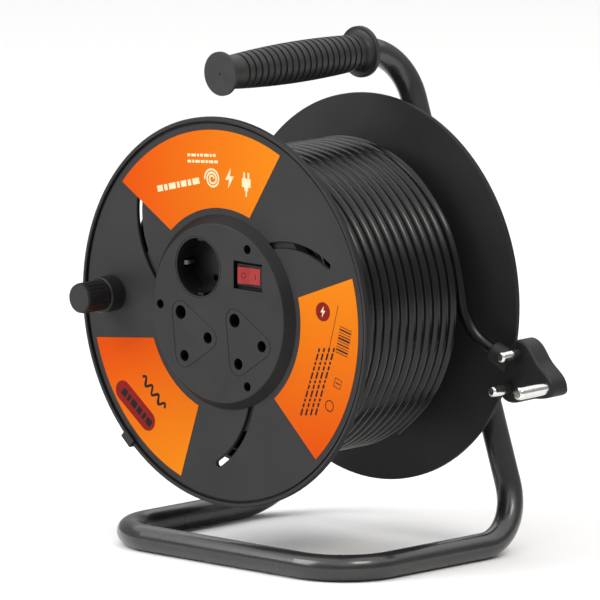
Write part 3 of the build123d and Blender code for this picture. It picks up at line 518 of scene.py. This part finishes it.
def print_on(name, outlines, color, origin, right, body, lift=0.0):
    """Flat ink shapes on an upright face that goes through a point and along a sideways direction."""
    out = Vector(right).cross(Vector((0, 0, 1))).normalized()
    base = origin + out * lift * MM
    vertices, faces = [], []
    for outline in outlines:
        first, count = len(vertices), len(outline)
        for level in (INK_HEIGHT, 0.0):
            for u, v in outline:
                vertices.append(base + Vector(right) * u * MM + Vector((0, 0, v * MM)) + out * level * MM)
        faces.append(list(range(first, first + count)))
        faces.append(list(range(first + 2 * count - 1, first + count - 1, -1)))
        for k in range(count):
            following = (k + 1) % count
            faces.append([first + following, first + k, first + count + k, first + count + following])
    mesh = bpy.data.meshes.new(name)
    mesh.from_pydata(vertices, [], faces)
    mesh.update()
    piece = bpy.data.objects.new(name, mesh)
    bpy.context.scene.collection.objects.link(piece)
    ink = Finish(name + "_ink", color, 0.5, specular=0.1)
    ink.mottle(3.0, tuple(0.85 * channel for channel in color)).grain(0.8, 0.003).sheen_spots(6.0, 0.36, 0.5)
    ink.apply(piece)
    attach(piece, body)


def print_on_drum(name, outlines, color, lift=0.0):
    """Flat ink shapes on the drum's labels, placed by their x and z."""
    print_on(name, outlines, color, at(0, LABEL_DEPTH, 0), ACROSS, "drum", lift)


def add_top_print():
    """A row of bars, a spiral, a bolt and a plug, with two rows of small print beside them."""
    signs = [moved(stroke(spiral, 1.3), -11.0, 89.5, 8), moved(bolt, 5.0, 91.5, 4)]
    signs += [moved(part, 20.5, 90.0) for part in plug_sign]
    signs += dashes((-62, 77), (-27, 86), 4.2, (5.2, 3.1, 6.4, 2.4), 1.4)
    signs += dashes((-34, 99), (-5, 101.5), 1.9, (3.4, 2.0, 4.1), 1.0)
    signs += dashes((-34, 103.2), (-8, 105.6), 1.9, (2.6, 4.4, 1.8), 1.0)
    print_on_drum("top_print", signs, CREAM)


def add_left_prints():
    """A wave, and a pill with a row of bars on it."""
    pill_place = (-83.0, -73.5, -38)            # x, z and turn
    print_on_drum("left_wave", [moved(stroke(wave, 1.8), -66.0, -62.5, -43)], BLACK_INK)
    print_on_drum("left_pill", [moved(pill, *pill_place)], DARK_RED)
    row_ends = moved([(-15.0, 0.0), (15.0, 0.0)], *pill_place)
    print_on_drum("left_pill_row", dashes(*row_ends, 5.0, (4.6, 2.8, 5.6), 1.5), BLACK_INK, INK_HEIGHT)


def add_right_prints():
    """A disc with a bolt on it, a stack of bars, a thin line, four rows of small print and two signs."""
    disc_place = (91.0, 11.0)
    print_on_drum("right_disc", [moved(circle(6.5), *disc_place)], DARK_RED)
    print_on_drum("right_disc_bolt", [moved(small_bolt, *disc_place)], CREAM, INK_HEIGHT)
    widths = (0.5, 1.1, 0.5, 0.8, 1.4, 0.5, 0.9, 0.5, 1.2, 0.6)
    stack = [moved(block(11.0, width), 0.0, 9.0 - 2.0 * row) for row, width in enumerate(widths)]
    fine = [moved(bar, 110.0, -7.0, -13) for bar in stack]
    fine.append(stroke([(105, 17), (95, -20)], 0.4))
    for row in range(4):
        start = (88.0 + 4.5 * row, -14.0 + 0.6 * row)
        end = (72.0 + 4.5 * row, -58.0 + 0.6 * row)
        fine += dashes(start, end, 1.5, (3.0, 5.0, 2.2), 1.2)
    fine.append(moved(ring(3.6, 0.7), 97.0, -52.0))
    card_place = (104.5, -36.0, -18)            # x, z and turn
    fine.append(moved(stroke(card, 0.6), *card_place))
    fine.append(moved(block(4.0, 0.8), *card_place))
    print_on_drum("right_print", fine, BLACK_INK)


def add_rocker_signs():
    """A ring and a bar, each on its own flat face of the rocker. Its left face is turned at rest."""
    print_on("rocker_ring", [ring(1.7, 0.45)], SIGN_RED, at(23.0, -4.36, 28.3), ACROSS_LEFT_FACE, "rocker")
    print_on("rocker_bar", [block(0.5, 3.6)], SIGN_RED, at(32.9, -2.98, 28.3), ACROSS, "rocker")


add_camera()
add_room()
cords = add_cords()
paint_stand()
paint_drum()
paint_metal()
paint_rubber(*cords)
paint_labels()
add_top_print()
add_left_prints()
add_right_prints()
add_rocker_signs()
